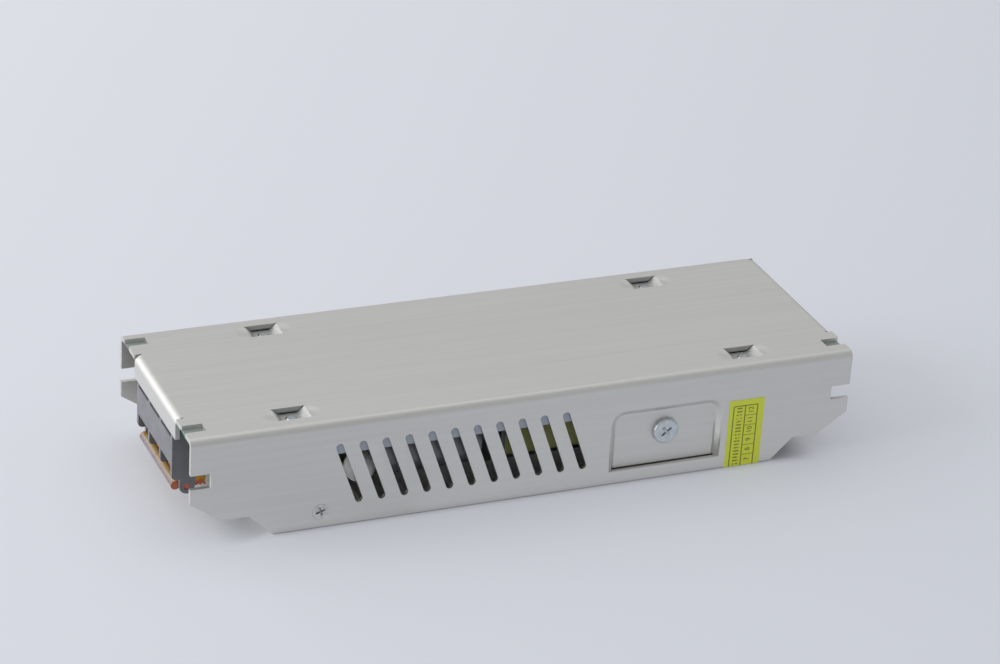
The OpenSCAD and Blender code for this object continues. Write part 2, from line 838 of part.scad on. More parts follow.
// A capacitor can with a crimp near its sealed end and a soft rim; base at its origin, up
module capacitor_can(d, l) {
  rim = 0.8;
  crimp = d * 0.03;
  rotate_extrude() difference() {
    union() {
      square([d / 2, l - rim]);
      square([d / 2 - rim, l]);
      translate([d / 2 - rim, l - rim]) circle(rim);
    }
    translate([d / 2 + crimp * 0.5, 3]) circle(crimp * 1.5);
  }
}

// A bulk capacitor lying along the case, leads bent up to the board
module bulk_capacitor(y) {
  axis_z = board_z - bulk_d / 2 - 0.1;
  base_x = bulk_x + bulk_l / 2;
  color([0.1, 0.1, 0.11]) {
    translate([base_x, y, axis_z]) rotate([0, -90, 0]) capacitor_can(bulk_d, bulk_l);
    for (s = [-1, 1]) {
      translate([base_x - over, y + s * bulk_d / 4, axis_z]) rotate([0, 90, 0])
        cylinder(d = lead_d, h = over + lead_d);
      translate([base_x + lead_d, y + s * bulk_d / 4, axis_z - lead_d / 2])
        cylinder(d = lead_d, h = board_z - axis_z + lead_d / 2);
    }
  }
}
module bulk_capacitor_near() {
  bulk_capacitor(bulk_near_y);
}
module bulk_capacitor_middle() {
  bulk_capacitor(bulk_mid_y);
}

// Two packages pressed on the pocket's inner face, either side of the screw
module clamped_packages() {
  y0 = -pocket_back + pad_t;
  for (s = [-1, 1]) {
    x = pocket_x + s * package_pitch / 2;
    block([x - package_w / 2, y0, package_z], [x + package_w / 2, y0 + 1.3, package_z + package_h]);
    block([x - package_w / 2, y0, package_z + 5.5],
      [x + package_w / 2, y0 + package_t, package_z + package_h]);
    leads([for (i = [-1:1]) [x + i * 2.54, y0 + 2.5]], package_z + package_h - over);
  }
}

// Insulating pad between the packages and the pocket
module clamp_pad() {
  w = pocket_l - 2 * pocket_slope - 3;
  y0 = -pocket_back;
  difference() {
    block([pocket_x - w / 2, y0, pocket_z + pocket_slit + 1.5],
      [pocket_x + w / 2, y0 + pad_t, pocket_z + pocket_h - 3.2]);
    translate([pocket_x, 0, clamp_z]) rotate([90, 0, 0]) cylinder(d = hole_d, h = case_w);
  }
}

// Bar that presses on both packages
module clamp_bar() {
  y0 = -pocket_back + pad_t + package_t;
  w = package_pitch + package_w * 0.7;
  difference() {
    translate([pocket_x, 0, clamp_z]) along_y(y0, y0 + bar_t) round_rect(w, bar_h, 1);
    translate([pocket_x, 0, clamp_z]) rotate([90, 0, 0]) cylinder(d = hole_d, h = case_w);
  }
}

// Clamp screw, head in the pocket
module clamp_screw() {
  reach = sheet_t + pad_t + package_t + bar_t + nut_h + 0.5;
  translate([pocket_x, -pocket_floor, clamp_z]) rotate([-90, 0, 0]) {
    pan_head(clamp_head_d, clamp_head_h);
    cylinder(d = shank_d, h = reach);
  }
}

// Hexagon nut behind the bar
module clamp_nut() {
  y0 = -pocket_back + pad_t + package_t + bar_t;
  translate([pocket_x, 0, clamp_z]) along_y(y0, y0 + nut_h) difference() {
    circle(d = nut_d, $fn = 6);
    circle(d = hole_d);
  }
}

module on_far_side() {
  rotate([0, 0, 180]) children();
}
module switch_transistors() {
  color([0.15, 0.15, 0.16]) on_far_side() clamped_packages();
}
module switch_pad() {
  color([0.62, 0.7, 0.72]) on_far_side() clamp_pad();
}
module switch_clamp_bar() {
  color([0.7, 0.7, 0.72]) on_far_side() clamp_bar();
}
module switch_clamp_screw() {
  color([0.72, 0.73, 0.72]) on_far_side() clamp_screw();
}
module switch_clamp_nut() {
  color([0.72, 0.73, 0.72]) on_far_side() clamp_nut();
}
module output_rectifiers() {
  color([0.15, 0.15, 0.16]) clamped_packages();
}
module rectifier_pad() {
  color([0.62, 0.7, 0.72]) clamp_pad();
}
module rectifier_clamp_bar() {
  color([0.7, 0.7, 0.72]) clamp_bar();
}
module rectifier_clamp_screw() {
  color([0.72, 0.73, 0.72]) clamp_screw();
}
module rectifier_clamp_nut() {
  color([0.72, 0.73, 0.72]) clamp_nut();
}

// Transformer: two E halves round a bobbin, winding axis along the case
post_h = core_leg * 1.6;
bobbin_t = 0.8;
flange_t = 1.2;
window_l = core_l - 2 * core_leg;
coil_l = window_l - 2 * flange_t - 2 * bobbin_t;
tube_h = post_h + 2 * bobbin_t;
tube_w = core_w + 2 * bobbin_t;
coil_t = (core_h - 2 * core_leg - tube_h) / 2 - 0.3;

module at_transformer() {
  translate([transformer_x, transformer_y, transformer_z]) children();
}
module e_half() {
  along_y(-core_w / 2, core_w / 2) {
    translate([core_l / 2 - core_leg, -core_h / 2]) square([core_leg, core_h]);
    for (s = [-1, 1]) translate([core_l / 4, s * (core_h / 2 - core_leg / 2)])
      square([core_l / 2, core_leg], center = true);
    translate([0, -post_h / 2]) square([core_l / 2, post_h]);
  }
}
module transformer_core() {
  color([0.2, 0.2, 0.21]) at_transformer() both_ends() e_half();
}
module transformer_bobbin() {
  flange_y = tube_w / 2 + winding_t;
  flange_h = core_h - 2 * core_leg - 0.2;
  color([0.14, 0.14, 0.15]) at_transformer() difference() {
    union() {
      along_x(bobbin_t - window_l / 2, window_l / 2 - bobbin_t) square([tube_w, tube_h], center = true);
      both_ends() {
        along_x(coil_l / 2, coil_l / 2 + flange_t) round_rect(2 * flange_y, flange_h, 1);
        for (s = [-1, 1]) block([coil_l / 2, s > 0 ? core_w / 2 + 0.4 : -flange_y, 0],
          [coil_l / 2 + flange_t, s > 0 ? flange_y : -core_w / 2 - 0.4, board_z - transformer_z]);
      }
    }
    along_x(-core_l, core_l) square([core_w + 0.1, post_h + 0.1], center = true);
  }
}
module transformer_winding() {
  w = tube_w + 2 * (winding_t - 0.6);
  h = tube_h + 2 * coil_t;
  color([0.72, 0.68, 0.25]) at_transformer() along_x(-coil_l / 2, coil_l / 2) difference() {
    round_rect(w, h, coil_t);
    square([tube_w, tube_h], center = true);
  }
}

inductor_place = [40, 8];
inductor_h = 9;
inductor_wire = 1.4;
module inductor_core() {
  color([0.78, 0.7, 0.2])
    translate([inductor_place.x, inductor_place.y, board_z - inductor_h / 2 - inductor_wire])
      ring(inductor_d * 0.3, inductor_d / 2, inductor_h);
}
module inductor_winding() {
  color([0.66, 0.36, 0.18])
    translate([inductor_place.x, inductor_place.y, board_z - inductor_h / 2 - inductor_wire])
      rotate(30) ring_winding(inductor_d * 0.3, inductor_d / 2, inductor_h, inductor_wire, 310);
}

module output_capacitors() {
  gap = 1.6;
  color([0.1, 0.12, 0.2]) for (i = [-1:1])
    translate([end_x - term_d - 14, -2 + i * (out_cap_d + gap), board_z])
      mirror([0, 0, 1]) capacitor_can(out_cap_d, out_cap_l);
}

// A small moulded chip on bent legs
module chip(w, d, h, legs) {
  stand = 0.5;
  along_z(-h, -stand) round_rect(w, d, 0.3);
  for (i = [0:legs - 1], s = [-1, 1])
    translate([(i - (legs - 1) / 2) * 2.54, s * (d / 2 + 0.2), -h / 2]) cube([0.6, 0.6, h], center = true);
}
module control_chip() {
  color([0.13, 0.13, 0.14]) translate([2, board_y - 7.4, board_z])
    chip(9.8, 6.4, 3.6, 4);
}
module optocouplers() {
  color([0.9, 0.9, 0.88]) for (x = [-3, 7]) translate([x, board_y - 17.4, board_z])
    chip(4.6, 6.4, 3.6, 2);
}
module safety_capacitor() {
  d = 9;
  t = 4;
  z = board_z - d / 2 - 1.5;
  color([0.16, 0.33, 0.62]) translate([20, board_y - 15.4, 0]) {
    translate([0, t / 2, z]) rotate([90, 0, 0]) rotate_extrude() {
      square([d / 2 - t / 2, t]);
      translate([d / 2 - t / 2, t / 2]) circle(t / 2);
    }
    leads([[-2.5, 0], [2.5, 0]], z);
  }
}

// Voltage trimmer and indicator lamp beside the output terminals
trim_w = 0.73 * (board_y - block_y(term_out));
trim_h = 5;
spindle_d = 3;
spindle_depth = 2.4;
trim_place = [end_x - 9, (block_y(term_out) + board_y) / 2];
module trimmer_body() {
  color([0.18, 0.32, 0.6]) translate([trim_place.x, trim_place.y, board_z]) difference() {
    along_z(-trim_h, 0) round_rect(trim_w, trim_w, 0.5);
    translate([0, 0, -trim_h - over]) cylinder(d = spindle_d + 2 * pin_fit, h = spindle_depth + over);
  }
}
module trimmer_rotor() {
  slot_w = 0.7;
  proud = 0.5;
  color([0.9, 0.9, 0.86]) translate([trim_place.x, trim_place.y, board_z - trim_h - proud]) difference() {
    cylinder(d = spindle_d, h = spindle_depth + proud - pin_fit);
    cube([spindle_d + over, slot_w, 2 * proud], center = true);
  }
}
module indicator_lamp() {
  d = 3;
  h = 4;
  color([0.3, 0.7, 0.35]) translate([trim_place.x, -trim_place.y, board_z - h]) {
    cylinder(d = d, h = h);
    sphere(d = d);
    translate([0, 0, h - 1]) cylinder(d = d + 0.8, h = 1);
  }
}

chassis();
bottom_cover();
insulating_sheet();
circuit_board();
board_screws();
cover_screws();
seal_sticker();
input_terminal_block();
input_contacts();
input_clamp_washers();
input_terminal_screws();
input_terminal_cover();
output_terminal_block();
output_contacts();
output_clamp_washers();
output_terminal_screws();
output_terminal_cover();
fuse();
thermistor();
line_filter_capacitor();
choke_core();
choke_windings();
bridge_rectifier();
adhesive_bead();
bulk_capacitor_near();
bulk_capacitor_middle();
switch_transistors();
switch_pad();
switch_clamp_bar();
switch_clamp_screw();
switch_clamp_nut();
transformer_core();
transformer_bobbin();
transformer_winding();
output_rectifiers();
rectifier_pad();
rectifier_clamp_bar();
rectifier_clamp_screw();
rectifier_clamp_nut();
inductor_core();
inductor_winding();
output_capacitors();
control_chip();
optocouplers();
safety_capacitor();
trimmer_body();
trimmer_rotor();
indicator_lamp();
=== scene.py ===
import json
import math

import bmesh
import bpy
from mathutils import Matrix, Vector


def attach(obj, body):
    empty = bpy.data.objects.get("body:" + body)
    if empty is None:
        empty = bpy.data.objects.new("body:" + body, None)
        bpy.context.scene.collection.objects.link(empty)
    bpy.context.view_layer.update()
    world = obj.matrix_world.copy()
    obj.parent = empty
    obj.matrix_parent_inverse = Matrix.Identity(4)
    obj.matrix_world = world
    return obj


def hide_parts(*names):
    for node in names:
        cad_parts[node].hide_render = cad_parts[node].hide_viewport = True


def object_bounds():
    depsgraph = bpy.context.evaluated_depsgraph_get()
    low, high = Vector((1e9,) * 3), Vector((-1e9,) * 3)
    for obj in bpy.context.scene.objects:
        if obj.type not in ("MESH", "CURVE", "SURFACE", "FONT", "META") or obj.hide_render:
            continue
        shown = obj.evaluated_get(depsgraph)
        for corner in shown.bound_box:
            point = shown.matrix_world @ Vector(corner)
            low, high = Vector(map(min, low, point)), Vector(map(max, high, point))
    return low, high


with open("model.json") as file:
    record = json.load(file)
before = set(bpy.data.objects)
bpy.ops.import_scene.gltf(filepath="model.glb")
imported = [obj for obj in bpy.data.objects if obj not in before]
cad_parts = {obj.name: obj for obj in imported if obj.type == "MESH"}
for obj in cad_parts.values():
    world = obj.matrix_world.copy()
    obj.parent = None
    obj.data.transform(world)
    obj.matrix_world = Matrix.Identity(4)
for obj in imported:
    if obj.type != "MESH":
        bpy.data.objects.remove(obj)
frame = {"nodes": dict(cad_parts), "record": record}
cadLow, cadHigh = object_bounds()
nodes = frame["nodes"]
mm = 0.001  # lengths below are in millimetres, except the floor's size and the lamps
print("frame loaded:", len(nodes), "nodes")


# Camera: at the photograph's viewing angle

view = {
    "azimuth": -23.7456, "elevation": 26.4668, "roll": 3.731,  # degrees
    "target": (17.502, 33.759, 15.04), "distance": 942.363,
    "focalPixels": 3343.7, "imageWidth": 1000, "filmWidth": 36,
}


def addCamera():
    data = bpy.data.cameras.new("viewCamera")
    data.sensor_width = view["filmWidth"]
    data.lens = view["focalPixels"] / view["imageWidth"] * view["filmWidth"]
    camera = bpy.data.objects.new("viewCamera", data)
    turn = (Matrix.Rotation(math.radians(view["azimuth"]), 4, "Z")
            @ Matrix.Rotation(math.radians(90 - view["elevation"]), 4, "X")
            @ Matrix.Rotation(math.radians(view["roll"]), 4, "Z"))
    back = turn.to_3x3() @ Vector((0, 0, 1))
    spot = (Vector(view["target"]) + back * view["distance"]) * mm
    camera.matrix_world = Matrix.Translation(spot) @ turn
    bpy.context.scene.collection.objects.link(camera)
    bpy.context.scene.camera = camera


addCamera()
bpy.context.scene.view_settings.view_transform = "Standard"
print("camera set")


# Shader helpers

class Wire:  # one socket that can be used in sums
    def __init__(self, finish, socket):
        self.finish = finish
        self.socket = socket

    def math(self, operation, *others):
        return self.finish.node("ShaderNodeMath", {"operation": operation}, [self, *others])

    def __add__(self, other):
        return self.math("ADD", other)

    def __sub__(self, other):
        return self.math("SUBTRACT", other)

    def __mul__(self, other):
        return self.math("MULTIPLY", other)

    def __truediv__(self, other):
        return self.math("DIVIDE", other)

    def __rsub__(self, other):
        return self.finish.node("ShaderNodeMath", {"operation": "SUBTRACT"}, [other, self])

    __radd__ = __add__
    __rmul__ = __mul__

    def above(self, edge, soft):  # 0 below the edge, 1 above it, with a soft step
        return self.finish.node("ShaderNodeMapRange", {"interpolation_type": "SMOOTHSTEP"},
                                {"Value": self, "From Min": edge - soft, "From Max": edge + soft})

    def within(self, low, high, soft):
        return self.above(low, soft) * (1 - self.above(high, soft))


class Finish:  # one material
    def __init__(self, name):
        self.material = bpy.data.materials.new(name)
        self.material.use_nodes = True
        self.tree = self.material.node_tree
        self.tree.nodes.clear()

    def node(self, kind, settings=None, values=(), out=0):
        made = self.tree.nodes.new(kind)
        for key, value in (settings or {}).items():
            setattr(made, key, value)
        for key, value in (values.items() if isinstance(values, dict) else enumerate(values)):
            self.feed(made.inputs[key], value)
        return Wire(self, made.outputs[out]) if made.outputs else None

    def feed(self, socket, value):
        if isinstance(value, Wire):
            self.tree.links.new(value.socket, socket)
        else:
            socket.default_value = value

    def place(self, stretch=(1, 1, 1)):
        spot = self.node("ShaderNodeTexCoord", out="Object")
        if stretch == (1, 1, 1):
            return spot
        return self.node("ShaderNodeMapping", None, {"Vector": spot, "Scale": stretch})

    def axis(self, letter):
        return self.node("ShaderNodeSeparateXYZ", None, [self.place()], out=letter)

    def noise(self, scale, detail=3, stretch=(1, 1, 1), rough=0.5):
        return self.node("ShaderNodeTexNoise", None, {"Vector": self.place(stretch), "Scale": scale,
                                                      "Detail": detail, "Roughness": rough})

    def blend(self, factor, first, second):
        sockets = {0: factor, 6: first, 7: second}  # the ones that mix colours
        return self.node("ShaderNodeMix", {"data_type": "RGBA"}, sockets, out=2)

    def surface(self, values, height=None, depth=1.0):
        values = dict(values)
        if height is not None:
            values["Normal"] = self.node("ShaderNodeBump", None, {"Height": height, "Distance": depth})
        shader = self.node("ShaderNodeBsdfPrincipled", None, values)
        self.node("ShaderNodeOutputMaterial", None, {"Surface": shader})
        return self.material


def tone(red, green, blue):  # display colour in 0 to 255, to the linear value that a shader takes
    parts = [v / 255 for v in (red, green, blue)]
    return (*[v / 12.92 if v <= 0.04045 else ((v + 0.055) / 1.055) ** 2.4 for v in parts], 1)


# Finishes

noiseMiddle = 0.5

sheetLook = {
    # the third tone is painted shade, darker, over each lance's sunk strip
    "colour": tone(217, 216, 213), "streak": tone(210, 209, 206), "drawn": tone(188, 188, 187),
    "roughness": 0.46, "grainRough": 0.06, "cloudRough": 0.06, "scuffRough": 0.1,
    "grainNoise": {"detail": 4, "stretch": (90, 5200, 5200), "rough": 0.6},  # brushed along X
    "streakNoise": {"detail": 3, "stretch": (14, 700, 700), "rough": 0.55},
    "scuffNoise": {"detail": 2, "stretch": (420, 1500, 1500), "rough": 0.7},
    "cloudScale": 26, "streakSoft": 0.45, "scuffFrom": 0.72, "scuffSoft": 0.04, "scuffCloud": 0.1,
    "grainHeight": 0.0004, "scuffHeight": 0.001,
    "lanceEnd": 4.75, "lanceHalf": 3.2, "dishRadius": 3.4, "dishDepth": 0.3,
    "endFade": 0.4, "topFade": 0.3, "sideFade": 0.02,  # fades of the painted shade in each lance
    "lances": ((-64.6, -23.5), (64.6, -23.5), (-56.4, 23.5), (56.4, 23.5)),
}


def brushedSheet():
    s = sheetLook
    f = Finish("brushedSheet")
    grain = f.noise(1, **s["grainNoise"])
    streak = f.noise(1, **s["streakNoise"])
    cloud = f.noise(s["cloudScale"])
    scuff = f.noise(1, **s["scuffNoise"]).above(s["scuffFrom"], s["scuffSoft"])
    scuff = scuff * cloud.above(noiseMiddle, s["scuffCloud"])
    colour = f.blend(streak.above(noiseMiddle, s["streakSoft"]), s["colour"], s["streak"])
    rough = s["roughness"] + grain * s["grainRough"] + cloud * s["cloudRough"] + scuff * s["scuffRough"]
    height = grain * s["grainHeight"] * mm + scuff * s["scuffHeight"] * mm
    radius = s["dishRadius"] * mm
    endFade, topFade, sideFade = s["endFade"] * mm, s["topFade"] * mm, s["sideFade"] * mm
    half = s["lanceHalf"] * mm
    below = f.axis("Z") - cadHigh.z
    for x, y in s["lances"]:  # sheet dished down a little at both ends of each lance, and painted shade over each lance's sunk strip
        along = (f.axis("X") - x * mm).math("ABSOLUTE") - s["lanceEnd"] * mm
        across = f.axis("Y") - y * mm
        away = (along * along + across * across + below * below).math("SQRT")
        dish = 1 - away.math("MINIMUM", radius) / radius
        height = height - dish * dish * (3 - 2 * dish) * (s["dishDepth"] * mm)
        # painted shade: each lance's sunk strip takes the darker tone
        strip = (1 - along.above(-endFade, endFade)) * (1 - below.above(-topFade, topFade))
        strip = strip * across.within(-half, half, sideFade)
        colour = f.blend(strip, colour, s["drawn"])
    return f.surface({"Base Color": colour, "Metallic": 1.0, "Roughness": rough}, height)


plateLook = {"cloudScale": 900, "fineScale": 9000, "soft": 0.2, "uneven": 0.12, "height": 0.004}


def platedSteel(name, colour, tint, roughness):
    p = plateLook
    f = Finish(name)
    cloud = f.noise(p["cloudScale"])
    fine = f.noise(p["fineScale"], detail=2)
    colour = f.blend(cloud.above(noiseMiddle, p["soft"]), colour, tint)
    rough = roughness + cloud * p["uneven"]
    return f.surface({"Base Color": colour, "Metallic": 1.0, "Roughness": rough},
                     fine * p["height"] * mm)


mouldLook = {"cloudScale": 240, "fineScale": 5200, "soft": 0.3, "darker": 0.8, "uneven": 0.12}


def moulding(name, colour, roughness=0.5, grain=0.012, coat=0.0):
    m = mouldLook
    f = Finish(name)
    fine = f.noise(m["fineScale"], detail=2)
    cloud = f.noise(m["cloudScale"])
    darker = tuple(m["darker"] * c for c in colour[:3]) + (1,)
    rough = roughness + cloud * m["uneven"] - m["uneven"] / 2
    colour = f.blend(cloud.above(noiseMiddle, m["soft"]), colour, darker)
    return f.surface({"Base Color": colour, "Coat Weight": coat, "Roughness": rough}, fine * grain * mm)


lidLook = {
    "plate": (0.92, 0.60, 0.10, 1), "cloud": (0.88, 0.52, 0.08, 1),
    # the pale tone after these is a painted reflection, for the strip along the outer edge
    "bead": (0.36, 0.285, 0.3, 1), "end": (0.86, 0.21, 0.11, 1),
    "inputHalf": 14.05, "outputHalf": 19.05, "endIn": 0.1,
    "beadFrom": 91.1, "beadTop": 9.65, "soft": 0.3,
    "roughness": 0.14, "uneven": 0.1, "index": 1.5, "clear": 0.55,
    "cloudScale": 300, "cloudSoft": 0.3, "fineScale": 2400, "height": 0.006,
}


def amberPlastic(name, half):  # clear amber: a pale painted reflection on the strip along its outer edge, red where its ends show
    c = lidLook
    f = Finish(name)
    cloud = f.noise(c["cloudScale"])
    fine = f.noise(c["fineScale"], detail=2)
    along = f.axis("X").math("ABSOLUTE")
    across = f.axis("Y").math("ABSOLUTE")
    # painted reflection: the strip along the outer edge is made pale, as if lit from above
    bead = along.above(c["beadFrom"] * mm, c["soft"] * mm)
    bead = bead * (1 - f.axis("Z").above(c["beadTop"] * mm, c["soft"] * mm))
    end = across.above((half - c["endIn"]) * mm, c["endIn"] * mm)
    colour = f.blend(cloud.above(noiseMiddle, c["cloudSoft"]), c["plate"], c["cloud"])
    colour = f.blend(end, f.blend(bead, colour, c["bead"]), c["end"])
    return f.surface({"Base Color": colour, "Roughness": c["roughness"] + cloud * c["uneven"],
                      "IOR": c["index"], "Transmission Weight": c["clear"]}, fine * c["height"] * mm)


filmLook = {
    # the third tone is darker and greener: the board's green under the film, and painted shade on the
    # film's flat top
    "dark": tone(166, 175, 186), "pale": tone(180, 188, 197), "overBoardShade": tone(142, 152, 149),
    "boardFrom": 28.95, "soft": 0.04, "roughness": 0.34, "uneven": 0.12, "index": 1.45,
    "cloudScale": 120, "fineScale": 700, "height": 0.02,
}


def clearFilm():
    c = filmLook
    f = Finish("clearFilm")
    cloud = f.noise(c["cloudScale"])
    fine = f.noise(c["fineScale"], detail=2)
    colour = f.blend(cloud, c["dark"], c["pale"])
    # painted shade: the film's flat part over the board takes the darker, greener tone
    colour = f.blend(f.axis("Z").above(c["boardFrom"] * mm, c["soft"] * mm), colour, c["overBoardShade"])
    return f.surface({"Base Color": colour, "Roughness": c["roughness"] + cloud * c["uneven"],
                      "IOR": c["index"]}, fine * c["height"] * mm)


boardLook = {
    "dark": tone(14, 66, 36), "pale": tone(18, 80, 44), "track": tone(34, 104, 58),
    "cell": 210.0, "trackFrom": 0.42, "soft": 0.03, "trackHeight": 0.03,
    "cloudScale": 60, "roughness": 0.3, "uneven": 0.1, "coat": 0.35,
}


def laminate():
    b = boardLook
    f = Finish("laminate")
    cells = f.node("ShaderNodeTexVoronoi", {"distance": "MANHATTAN"},
                   {"Vector": f.place(), "Scale": b["cell"]}, out="Distance")
    tracks = cells.above(b["trackFrom"], b["soft"])
    cloud = f.noise(b["cloudScale"])
    base = f.blend(cloud, b["dark"], b["pale"])
    colour = f.blend(tracks, base, b["track"])
    return f.surface({"Base Color": colour, "Roughness": b["roughness"] + cloud * b["uneven"],
                      "Coat Weight": b["coat"]}, tracks * b["trackHeight"] * mm)


woundLook = {
    "wavesPerScale": 20, "waver": 0.4, "height": 0.2,
    "cloudScale": 300, "roughness": 0.3, "uneven": 0.16, "coat": 0.4,
}


def wound(name, colour, dark, pitch):  # enamelled wire or tape laid in turns
    w = woundLook
    f = Finish(name)
    turns = f.node("ShaderNodeTexWave", {"wave_type": "BANDS", "bands_direction": "X"},
                   {"Vector": f.place(), "Scale": 1 / (pitch * mm) / w["wavesPerScale"],
                    "Distortion": w["waver"]})
    cloud = f.noise(w["cloudScale"])
    return f.surface({"Base Color": f.blend(turns, dark, colour), "Coat Weight": w["coat"],
                      "Roughness": w["roughness"] + cloud * w["uneven"]}, turns * w["height"] * mm)


sealLook = {
    "paper": tone(224, 232, 66), "cloud": tone(215, 224, 70), "ink": tone(84, 90, 24),
    "x": 57.775, "width": 10.45, "low": 0.13, "high": 20.3, "face": -31.6, "thick": 0.1,
    "fold": 1.3,  # how far it goes in under the case
    "uprights": (0.13, 0.46, 0.81), "top": 0.09, "cell": 0.15,  # shares of its width and height
    "line": 0.32, "soft": 0.05, "ruleInk": 0.6,
    "ticks": (0.22, 0.38), "tickPitch": 1.0, "tickFrom": 0.55, "tickSoft": 0.12, "tickInk": 0.9,
    "wearFrom": 0.42, "wearSoft": 0.06, "wornInk": 0.25,
    "numbers": ("12", "11", "10", "9", "8", "7"), "digit": 2.1, "inkThick": 0.01,
    "wearScale": 1500, "cloudScale": 500, "fineScale": 3000, "height": 0.006,
    "roughness": 0.42, "uneven": 0.1, "inkScale": 900, "inkRough": 0.5,
}


def sealPaper():
    s = sealLook
    f = Finish("sealPaper")
    x = (f.axis("X") / mm - s["x"]) / s["width"]
    down = (s["high"] - f.axis("Z") / mm) / (s["high"] - s["low"])
    half = s["line"] / 2 / s["width"]
    soft = s["soft"] / s["width"]
    first, second, last = s["uprights"]
    across = x.within(first, last, soft)
    inside = across * down.above(s["top"], soft)
    ink = down.within(s["top"] - half / 2, s["top"] + half / 2, soft / 2) * across
    for share in s["uprights"]:
        upright = x.within(share - half, share + half, soft) * down.above(s["top"], soft)
        ink = ink.math("MAXIMUM", upright)
    for row in range(1, len(s["numbers"])):
        level = s["top"] + row * s["cell"]
        rule = down.within(level - half / 2, level + half / 2, soft / 2)
        ink = ink.math("MAXIMUM", rule * x.above(second, soft) * inside * s["ruleInk"])
    wear = f.noise(s["wearScale"])
    tick = (f.axis("Z") / (s["tickPitch"] * mm)).math("FRACT").above(s["tickFrom"], s["tickSoft"])
    tick = tick * x.within(*s["ticks"], soft) * inside * wear.above(s["wearFrom"], s["wearSoft"])
    ink = ink.math("MAXIMUM", tick * s["tickInk"]) * (1 - s["wornInk"] + s["wornInk"] * wear)
    paper = f.blend(f.noise(s["cloudScale"]), s["paper"], s["cloud"])
    fine = f.noise(s["fineScale"], detail=2)
    rough = s["roughness"] + wear * s["uneven"]
    return f.surface({"Base Color": f.blend(ink, paper, s["ink"]), "Roughness": rough},
                     fine * s["height"] * mm)


finishes = {
    "case_aluminium": brushedSheet(),
    "insulating_film": clearFilm(),
    "board_green": laminate(),
    "zinc_screw": platedSteel("zincPlate", tone(206, 209, 211), tone(186, 196, 201), 0.24),
    "seal_yellow": sealPaper(),
    "terminal_black": moulding("terminalBlack", tone(119, 119, 124), 0.42),
    "terminal_metal": platedSteel("nickelPlate", tone(214, 208, 196), tone(198, 190, 176), 0.26),
    "cover_amber": amberPlastic("amberInput", lidLook["inputHalf"]),
    "fuse_ceramic": moulding("fuseCeramic", tone(226, 224, 216), 0.3),
    "thermistor_green": moulding("thermistorCoat", tone(44, 72, 52), 0.4),
    "capacitor_yellow": moulding("capacitorBox", tone(206, 172, 62), 0.36),
    "core_green": moulding("ringCoat", tone(48, 104, 72), 0.34),
    "copper_wire": wound("copperWire", tone(196, 116, 66), tone(96, 48, 26), 1.1),
    "package_black": moulding("packageBlack", tone(72, 72, 75), 0.5),
    "adhesive_white": moulding("adhesiveWhite", tone(248, 248, 245), 0.4, 0.05),
    "capacitor_sleeve": moulding("capacitorSleeve", tone(122, 122, 126), 0.34, 0.006, 0.3),
    "pad_grey": moulding("heatPad", tone(150, 164, 170), 0.6, 0.03),
    "ferrite": moulding("ferrite", tone(84, 84, 88), 0.55, 0.03),
    "winding_tape": wound("windingTape", tone(194, 197, 128), tone(170, 173, 106), 5.0),
    "core_yellow": moulding("powderCore", tone(206, 190, 70), 0.4, 0.03),
    "coupler_white": moulding("couplerBody", tone(230, 230, 226), 0.5),
    "disc_blue": moulding("discCoat", tone(52, 92, 168), 0.3, 0.02, 0.3),
    "trimmer_blue": moulding("trimmerBlue", tone(56, 96, 164), 0.4),
    "rotor_white": moulding("rotorWhite", tone(230, 228, 218), 0.4),
    "lamp_green": moulding("lampLens", tone(92, 190, 110), 0.15, 0.002, 0.4),
}
slotOf = {row["node"]: row["material_slot"] for row in frame["record"]["subparts"]}
for name, obj in nodes.items():
    obj.data.materials.clear()
    obj.data.materials.append(finishes[slotOf[name]])
print("finishes made:", len(finishes))


# Mesh helpers

weld = 0.0005 * mm  # points closer than this are one
near = 0.01  # mm, for finding points by their place
flat = math.radians(0.3)  # faces at a smaller angle are one


def addPiece(name, bm, body, material, replaced=(), sharp=35):
    mesh = bpy.data.meshes.new(name)
    bm.to_mesh(mesh)
    bm.free()
    mesh.polygons.foreach_set("use_smooth", [True] * len(mesh.polygons))
    mesh.set_sharp_from_angle(angle=math.radians(sharp))
    mesh.materials.append(material)
    piece = bpy.data.objects.new(name, mesh)
    bpy.context.scene.collection.objects.link(piece)
    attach(piece, body)
    if replaced:
        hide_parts(*replaced)
    return piece


drawnLook = {
    "sheet": 1.3,  # the sheet's thickness with a margin
    # Each lance: its ramps become a smooth curve
    "depth": 1.8, "shown": 1.65, "flat": 2.75, "half": 3.0, "crest": 2.2, "cuts": 8, "lanceMargin": 0.3,
    # Each pocket: its rim and root are rounded
    "pocketX": 39.5, "pocketHalf": 16.5, "pocketLow": 3.9, "pocketHigh": 21.8,
    "face": 31.5, "floor": 30.1, "rim": 0.5, "root": 0.3, "segments": 4, "rimAngles": (20, 70),
    "lowReach": 0.2, "topReach": 1, "pocketMargin": (1, 0.5), "slitHigh": 4.6, "slitShut": 4.2,
}


